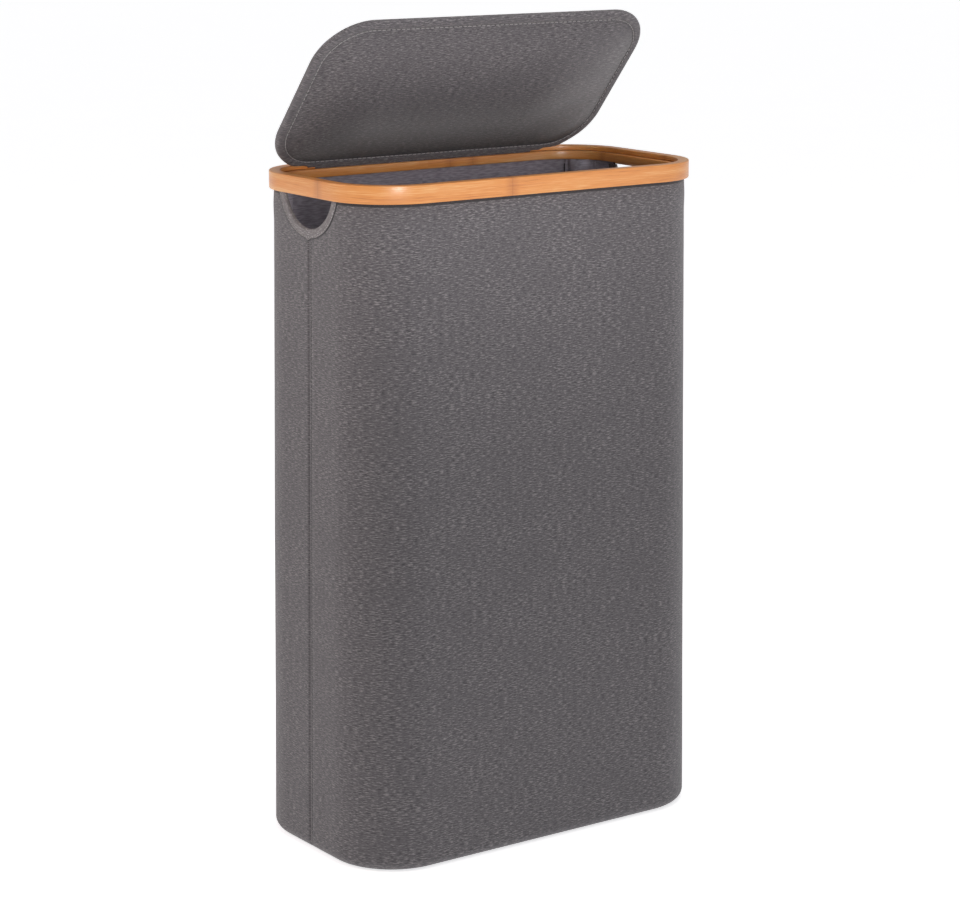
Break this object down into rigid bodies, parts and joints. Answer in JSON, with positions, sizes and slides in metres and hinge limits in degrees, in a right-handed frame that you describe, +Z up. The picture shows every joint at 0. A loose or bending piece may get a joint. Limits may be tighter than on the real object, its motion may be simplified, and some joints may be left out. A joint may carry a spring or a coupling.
{
  "type": "laundry hamper with lid",
  "caption": "Slim upright fabric laundry hamper with a bamboo rim, hand holes under the rim and a hinged padded lid.",
  "frame": {"origin": "centre of the footprint, on the floor", "axes": "+Z up, +X along the long side to the right, -Y is the front and the lid is hinged at the +Y side"},
  "size_m": [0.4144, 0.2264, 0.8054],
  "materials": {
    "bamboo": "laminated bent bamboo, clear satin lacquer",
    "cloth": "dark grey melange woven polyester",
    "lining": "plain dark grey lining cloth",
    "board": "hard fibreboard",
    "foam": "open cell foam pad",
    "aluminium": "drawn tube, mill finish",
    "plastic": "moulded black plastic and hook tape"
  },
  "bodies": {
    "hamper_body": {"rim_outer_hoop": "bamboo", "rim_inner_hoop": "bamboo", "front_wall_panel": "cloth", "back_wall_panel": "cloth", "base_panel": "cloth", "base_board": "board", "base_lining": "lining", "left_hand_hole_binding": "cloth", "right_hand_hole_binding": "cloth", "left_seam_tape": "lining", "right_seam_tape": "lining", "front_left_pole": "aluminium", "front_right_pole": "aluminium", "back_right_pole": "aluminium", "back_left_pole": "aluminium", "front_left_pole_foot_cap": "plastic", "front_right_pole_foot_cap": "plastic", "back_right_pole_foot_cap": "plastic", "back_left_pole_foot_cap": "plastic", "front_left_pole_head_cap": "plastic", "front_right_pole_head_cap": "plastic", "back_right_pole_head_cap": "plastic", "back_left_pole_head_cap": "plastic", "front_left_sleeve": "lining", "front_right_sleeve": "lining", "back_right_sleeve": "lining", "back_left_sleeve": "lining", "front_left_closure_tape": "plastic", "front_right_closure_tape": "plastic", "back_right_closure_tape": "plastic", "back_left_closure_tape": "plastic", "lid_hinge_flap": "cloth"},
    "lid": {"lid_top_cover": "cloth", "lid_underside_panel": "cloth", "lid_board": "board", "lid_foam_pad": "foam"}
  },
  "joints": [
    {"name": "lid_hinge", "type": "hinge", "parent": "hamper_body", "child": "lid", "pos_m": [0, 0.0968, 0.6562], "axis": [-1, 0, 0], "range_deg": [-49, 50]}
  ]
}
